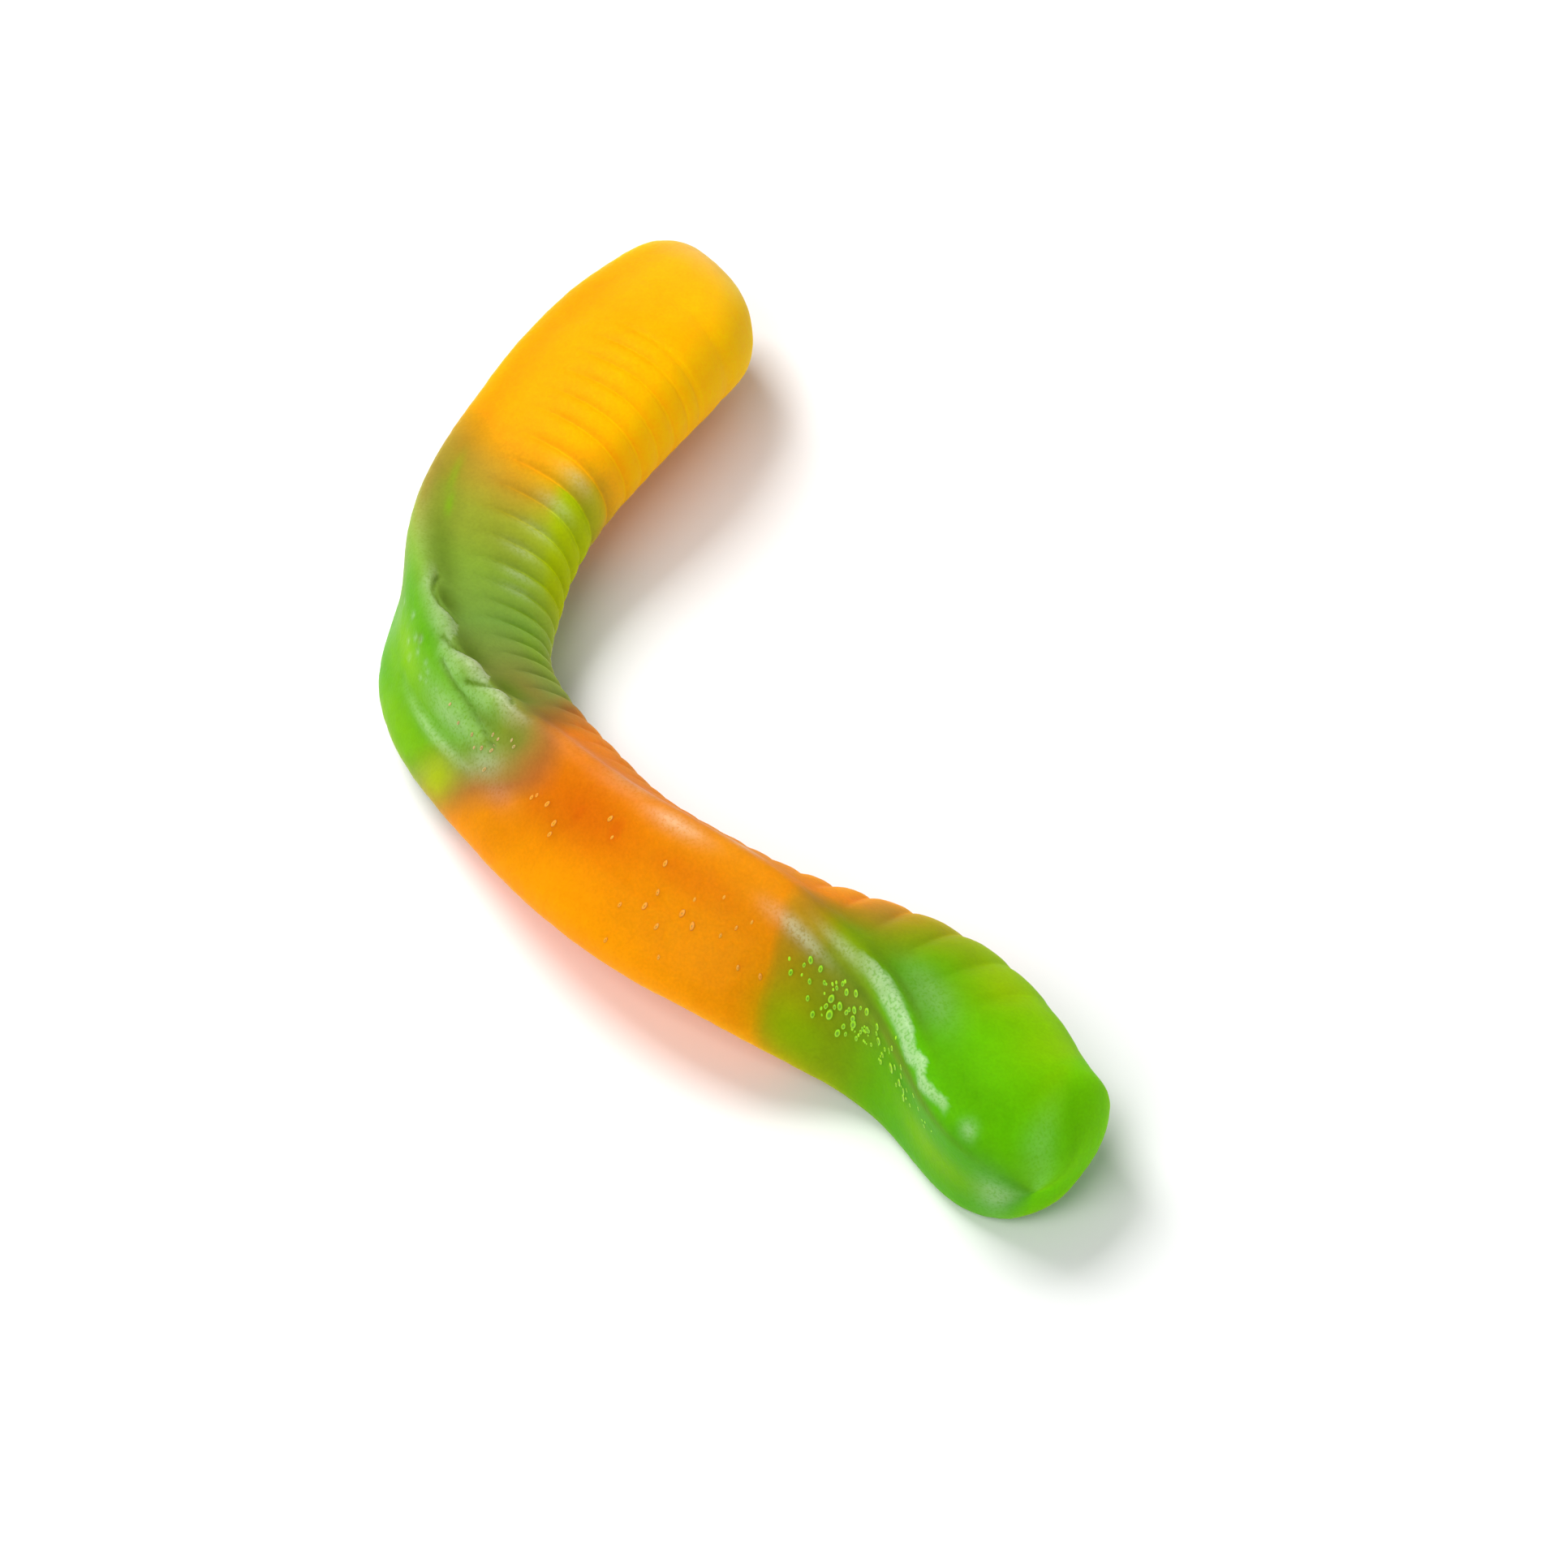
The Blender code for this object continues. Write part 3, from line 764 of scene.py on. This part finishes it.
# painted light and shade on a ridge from groove to groove: from where, to where, and how strong
# at both places
LIT = (0, 0.5, 0.25, 0)
THIN_EDGE = (0, 0.06, 0.5, 0)
SHADE = (0.45, 0.95, 0, 0.3)
# pale patches of painted sheen on the starch's film: its speckle, the patches' share and least,
# and the tone
SPECKLE = (0.36, 0.47, 0.6, 1.1)
PATCHES = (0.4, 0.38)
SHEEN_TONE, SHEEN_CLEAR = "#D8E4CC", 0.3
ROUGH = (0.35, 1)
# the colour is uneven at three sizes, from the lesser share to the greater
UNEVEN_COLOUR = ((3.0, 0.975, 1.025), (GRAIN, 0.95, 1.05), (MOTTLE, 0.975, 1.025))
NOISE_RANGE = (0.3, 0.7)
# the tints' tones: lime and citron are partly painted glow, lemon is painted glow and deep is
# painted shade
TINTS = {"brown": "#8C7030", "lime_glow": "#80B600", "citron_glow": "#9EB200", "rust": "#C85404",
         "deep": "#5E7A14", "lemon_glow": "#FFB000"}

print("light goes", SCATTER, "mm into the jelly")


# %% Gelatine jelly
def gelatine_jelly():
    """Satin fruit jelly in soft bands of dye, with painted light, shade and sheen, and light that
    goes a few millimetres in.
    """
    material = bpy.data.materials.new("gelatine_jelly")
    material.use_nodes = True
    tree = material.node_tree
    shader = tree.nodes["Principled BSDF"]
    room = add_node(tree, "TexCoord").outputs["Object"]

    def number(name):
        return add_node(tree, "Attribute", attribute_name=name).outputs["Fac"]

    def noise(size, detail=2.0):
        node = add_node(tree, "TexNoise",
                        {"Vector": room, "Scale": 1 / (size * MM), "Detail": detail})
        return node.outputs["Fac"]

    def calculate(operation, *values):
        return add_node(tree, "Math", dict(enumerate(values)), operation=operation).outputs[0]

    def spread(value, low, high, least, most, kind="LINEAR"):
        """A value between low and high, spread between least and most."""
        node = add_node(tree, "MapRange", {"Value": value, "From Min": low, "From Max": high,
                                           "To Min": least, "To Max": most},
                        interpolation_type=kind)
        return node.outputs[0]

    def blend(amount, under, over, kind="MIX"):
        node = add_node(tree, "Mix", {"Factor": amount, 6: under, 7: over},
                        data_type="RGBA", blend_type=kind)
        return node.outputs[2]

    # the dyes smear into each other over a few millimetres
    smear = calculate("MULTIPLY_ADD", noise(SMEAR), SMEAR_REACH / LENGTH,
                      -SMEAR_REACH / 2 / LENGTH)
    place = calculate("ADD", number("band"), smear)
    colour = blend(number("backness"), ramp(tree, BELLY_DYE, place), ramp(tree, BACK_DYE, place))
    for name, code in TINTS.items():
        colour = blend(number(name), colour, linear(code))
    # painted light: the glow number brightens the thin parts and dims the rest
    colour = blend(1.0, colour, spread(number("glow"), 0, 1, *GLOW), "MULTIPLY")

    # painted light and shade on the ridges: each ridge is painted bright where it rises from a
    # groove, its thin edge is painted glowing, and it is painted darker towards the next groove
    count, side = number("ridge_count"), number("ridge_painted_light")
    phase = calculate("FRACT", count)
    lit = spread(phase, *LIT, "SMOOTHSTEP")
    edge = spread(calculate("PINGPONG", count, 0.5), *THIN_EDGE, "SMOOTHSTEP")
    shade = spread(phase, *SHADE, "SMOOTHSTEP")
    thin = blend(1.0, colour, EDGE_GLOW, "MULTIPLY")
    colour = blend(calculate("MULTIPLY", calculate("ADD", lit, edge), side), colour, thin)
    dark = blend(1.0, colour, GROOVE_SHADE, "MULTIPLY")
    colour = blend(calculate("MULTIPLY", shade, side), colour, dark)

    # pale patches of painted sheen where the haze number is high, over the starch's own film
    speckle = spread(noise(GRAIN, 1.0), *SPECKLE)
    patches = calculate("MULTIPLY_ADD", noise(MOTTLE, 3.0), *PATCHES)
    painted_sheen = calculate("MULTIPLY", number("haze_and_sheen"), calculate("MULTIPLY", patches, speckle))
    colour = blend(painted_sheen, colour, blend(SHEEN_CLEAR, linear(SHEEN_TONE), colour))
    for size, least, most in UNEVEN_COLOUR:
        uneven = spread(noise(size), *NOISE_RANGE, least, most)
        colour = blend(1.0, colour, uneven, "MULTIPLY")

    # the satin grain, and a coarser mottle that breaks up the highlights
    rough = spread(number("haze_and_sheen"), 0, 1, *ROUGH)
    grain = add_node(tree, "Bump", {"Height": noise(GRAIN, 1.0), "Strength": rough,
                                    "Distance": GRAIN_DEPTH * MM})
    mottle = add_node(tree, "Bump", {"Height": noise(MOTTLE), "Strength": MOTTLE_STRENGTH,
                                     "Distance": MOTTLE_DEPTH * MM,
                                     "Normal": grain.outputs["Normal"]})
    # the mould leaves the belly matt, and the open back dries glossy
    matt = spread(number("open_back"), 0, 1, MATT_BELLY, GLOSSY_BACK)
    sheen = calculate("MULTIPLY_ADD", noise(MOTTLE), SHEEN_RANGE,
                      calculate("ADD", matt, -SHEEN_RANGE / 2))
    for socket, value in (("Base Color", colour), ("Normal", mottle.outputs["Normal"]),
                          ("Roughness", sheen)):
        tree.links.new(value, shader.inputs[socket])
    shader.inputs["IOR"].default_value = JELLY_IOR
    shader.inputs["Specular IOR Level"].default_value = 0.04
    shader.inputs["Subsurface Weight"].default_value = 0.75
    shader.inputs["Subsurface Radius"].default_value = SCATTER_SHARES
    shader.inputs["Subsurface Scale"].default_value = SCATTER * MM
    # polishing oil and wax lie as a thin film where the skin is hazy
    film = calculate("MULTIPLY", number("haze_and_sheen"), WAX)
    tree.links.new(film, shader.inputs["Coat Weight"])
    shader.inputs["Coat Roughness"].default_value = WAX_ROUGHNESS
    shader.inputs["Coat IOR"].default_value = JELLY_IOR
    return material


worm.data.materials.append(gelatine_jelly())
print("jelly:", len(worm.data.materials[0].node_tree.nodes), "nodes")

# %% [markdown]
# ## Trapped air
#
# Air that was stirred into the jelly rises to the open back and sets there as long, flat drops
# just under the skin, most of them in the trough of the green end, some in the orange and a few
# at the bend. Light that enters one comes back out as a bright ring. Scattering jelly would hide
# a bead inside it, so each is a flat bead set halfway into the skin, with its ring painted on.
# It keeps one `ring` number, which a colour ramp reads. The ramp has three parts, for beads in
# green, tan and orange jelly, and in its part a bead's number rises from its core to its rim.
# One bead is modelled and copied, and the copies are joined to one piece.

# %% Where the bubbles lie
# each bubble: how far along, how far round, and its size
BUBBLES = ((73.6, 2.6, 0.24), (74.3, 2.6, 0.22), (77.0, 3.0, 0.25), (78.2, 2.8, 0.28),
           (76.3, 2.5, 0.24), (77.1, 2.1, 0.26), (78.4, 1.8, 0.24), (79.6, 1.9, 0.28),
           (76.1, 1.3, 0.28), (75.4, 1.2, 0.30), (76.6, 1.3, 0.20), (77.1, 1.2, 0.24),
           (77.3, 0.7, 0.30), (75.5, -0.1, 0.34), (76.3, -0.7, 0.26), (76.6, 0.2, 0.20),
           (77.7, 0.1, 0.18), (81.3, 1.2, 0.36), (82.4, 1.3, 0.30), (83.1, 1.2, 0.2),
           (82.8, 2.4, 0.22), (84.5, 2.7, 0.18), (85.0, 2.2, 0.16), (83.0, 0.2, 0.24),
           (80.0, 0.2, 0.2), (78.0, 1.2, 0.16), (74.4, -1.0, 0.22), (73.8, 1.2, 0.18),
           (72.6, 0.8, 0.2), (79.3, 2.8, 0.24), (81.3, 3.0, 0.2), (82.8, 3.1, 0.2),
           (81.8, 1.9, 0.22), (80.4, 2.0, 0.18), (79.4, 2.3, 0.18), (78.6, 1.6, 0.16),
           (75.1, 0.3, 0.2), (73.9, 0.1, 0.18), (76.0, 2.9, 0.18), (75.6, 2.2, 0.16),
           (77.6, 2.5, 0.16), (76.8, 1.8, 0.17), (77.9, 0.8, 0.16), (80.9, 2.5, 0.17),
           (80.2, 1.2, 0.16), (83.6, 1.9, 0.17), (82.1, 0.6, 0.16), (79.0, 0.7, 0.15),
           (75.7, 0.7, 0.17), (76.9, -0.3, 0.16), (83.9, 0.9, 0.15), (85.6, 1.2, 0.15),
           (73.2, 1.9, 0.15), (74.8, 1.8, 0.16))
WARM_BUBBLES = ((58.6, 2.7, 0.2), (54.3, 1.3, 0.2), (53.3, 1.3, 0.14), (53.0, 0.8, 0.16),
                (55.5, 0.3, 0.22), (55.7, -0.3, 0.18), (59.4, 1.7, 0.12), (63.3, 2.3, 0.2),
                (63.7, 0.3, 0.18), (65.6, -0.2, 0.24), (66.4, -0.5, 0.24), (63.4, -0.7, 0.22),
                (64.6, -1.4, 0.2), (62.0, -1.7, 0.16), (62.3, -3.6, 0.16), (65.5, -3.0, 0.14),
                (65.9, 1.2, 0.12), (67.5, 2.1, 0.12), (69.6, 1.8, 0.12), (68.8, 0.9, 0.14),
                (68.1, -0.1, 0.14), (69.7, -1.2, 0.16), (71.0, -1.0, 0.18))
TAN_BUBBLES = ((47.9, 2.8, 0.14), (48.3, 2.1, 0.18), (48.5, 1.6, 0.16), (47.7, 1.3, 0.16),
               (48.8, 0.0, 0.18), (45.3, 1.8, 0.14), (49.8, 2.7, 0.14), (48.5, 2.5, 0.12),
               (49.4, 3.1, 0.12), (44.0, 2.2, 0.12), (46.6, 1.7, 0.14), (47.2, 0.9, 0.12))
KINDS = (BUBBLES, TAN_BUBBLES, WARM_BUBBLES)
# finer specks: how many, their sizes, and the middle and the spread of their cloud
SPECKS = 40
SPECK_SIZE = (0.07, 0.13)
SPECKS_ALONG, SPECKS_ROUND = (79.5, 3.6), (1.4, 1.1)
SEED = 5

print("bubbles:", sum(len(group) for group in KINDS), "and", SPECKS, "specks")

# %% Air bubbles
BUBBLE_WIDTH, BUBBLE_LENGTH, BUBBLE_FLATNESS = 0.68, 1.2, 0.2
BUBBLE_TURN = 0.25
BEAD_SIDES, BEAD_LEVELS = 12, 7
RING = 0.72


def place_on_skin(s, r, tree, points, normals):
    """The skin's point and normal at a place along and round."""
    nearest = tree.find((s, r, 0))[1]
    return Vector(points[nearest]), Vector(normals[nearest])


def make_bubbles():
    """All the beads as one piece."""
    flat = np.empty(len(worm.data.vertices) * 3)
    worm.data.vertex_normals.foreach_get("vector", flat)
    normals, points = flat.reshape(-1, 3), points_of(worm)
    tree = kdtree.KDTree(len(points))
    for i, (s, r) in enumerate(zip(along, around)):
        tree.insert((s, r, 0), i)
    tree.balance()

    chance = np.random.default_rng(SEED)
    wanted = [(*bubble, kind) for kind, group in enumerate(KINDS) for bubble in group]
    for _ in range(SPECKS):
        s, r = chance.normal(*SPECKS_ALONG), chance.normal(*SPECKS_ROUND)
        wanted.append((s, r, chance.uniform(*SPECK_SIZE), 0))

    tidy_selection()
    bpy.ops.mesh.primitive_uv_sphere_add(segments=BEAD_SIDES, ring_count=BEAD_LEVELS, radius=MM)
    bead = bpy.context.object
    rim = np.hypot(*points_of(bead)[:, :2].T)
    beads = []
    for s, r, size, kind in wanted:
        point, normal = place_on_skin(s, r, tree, points, normals)
        tidy_selection()
        bead.select_set(True)
        bpy.context.view_layer.objects.active = bead
        bpy.ops.object.duplicate()
        copy = bpy.context.object
        copy.data.transform(Matrix.Diagonal((size * BUBBLE_WIDTH, size * BUBBLE_LENGTH,
                                             size * BUBBLE_FLATNESS, 1)))
        ring = rim if size > SPECK_SIZE[1] else np.full(len(rim), RING)
        keep_number(copy, "ring", (kind + ring) / len(KINDS), quiet=True)
        turned = normal.to_track_quat("Z", "Y").to_matrix().to_4x4()
        turn_by = chance.uniform(-BUBBLE_TURN, BUBBLE_TURN)
        copy.data.transform(Matrix.Rotation(turn_by, 4, "Z"))
        copy.data.transform(Matrix.Translation(point * MM) @ turned)
        beads.append(copy)
    bpy.data.objects.remove(bead)
    tidy_selection()
    for copy in beads:
        copy.select_set(True)
    bpy.context.view_layer.objects.active = beads[0]
    bpy.ops.object.join()
    bubbles = bpy.context.object
    bubbles.name = "air_bubbles"
    bpy.ops.object.shade_smooth()
    return bubbles


# %% Air in jelly
# a bead's core, its ring of painted light and its rim of painted shade, for each kind
BEAD_TONES = (("#6CA408", "#AEEA12", "#528E06"), ("#A88A48", "#C4A066", "#7C7A30"),
              ("#EE9410", "#F49C26", "#C46C08"))
CORE = 0.35


def bubble_material():
    """Air in jelly: a dim core in a bright ring of painted light, with a thin dark rim of painted
    shade.
    """
    material = bpy.data.materials.new("air_in_jelly")
    material.use_nodes = True
    tree = material.node_tree
    shader = tree.nodes["Principled BSDF"]
    ring = add_node(tree, "Attribute", attribute_name="ring").outputs["Fac"]
    node = add_node(tree, "ValToRGB", {"Fac": ring})
    stops = node.color_ramp.elements
    wanted = [((kind + part) / len(BEAD_TONES), tone) for kind, tones in enumerate(BEAD_TONES)
              for part, tone in zip((CORE, RING, 1.0), tones)]
    for place, _ in wanted[1:-1]:
        stops.new(place)
    for stop, (place, tone) in zip(stops, wanted):
        stop.position = place
        stop.color = linear(tone)
    tree.links.new(node.outputs["Color"], shader.inputs["Base Color"])
    shader.inputs["Roughness"].default_value = 0.35
    shader.inputs["Specular IOR Level"].default_value = 0.3
    shader.inputs["Subsurface Weight"].default_value = 0.5
    shader.inputs["Subsurface Scale"].default_value = 0.3 * MM
    return material


bubbles = make_bubbles()
bubbles.data.materials.append(bubble_material())
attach(bubbles, "root")
print("beads:", len(bubbles.data.polygons), "faces")
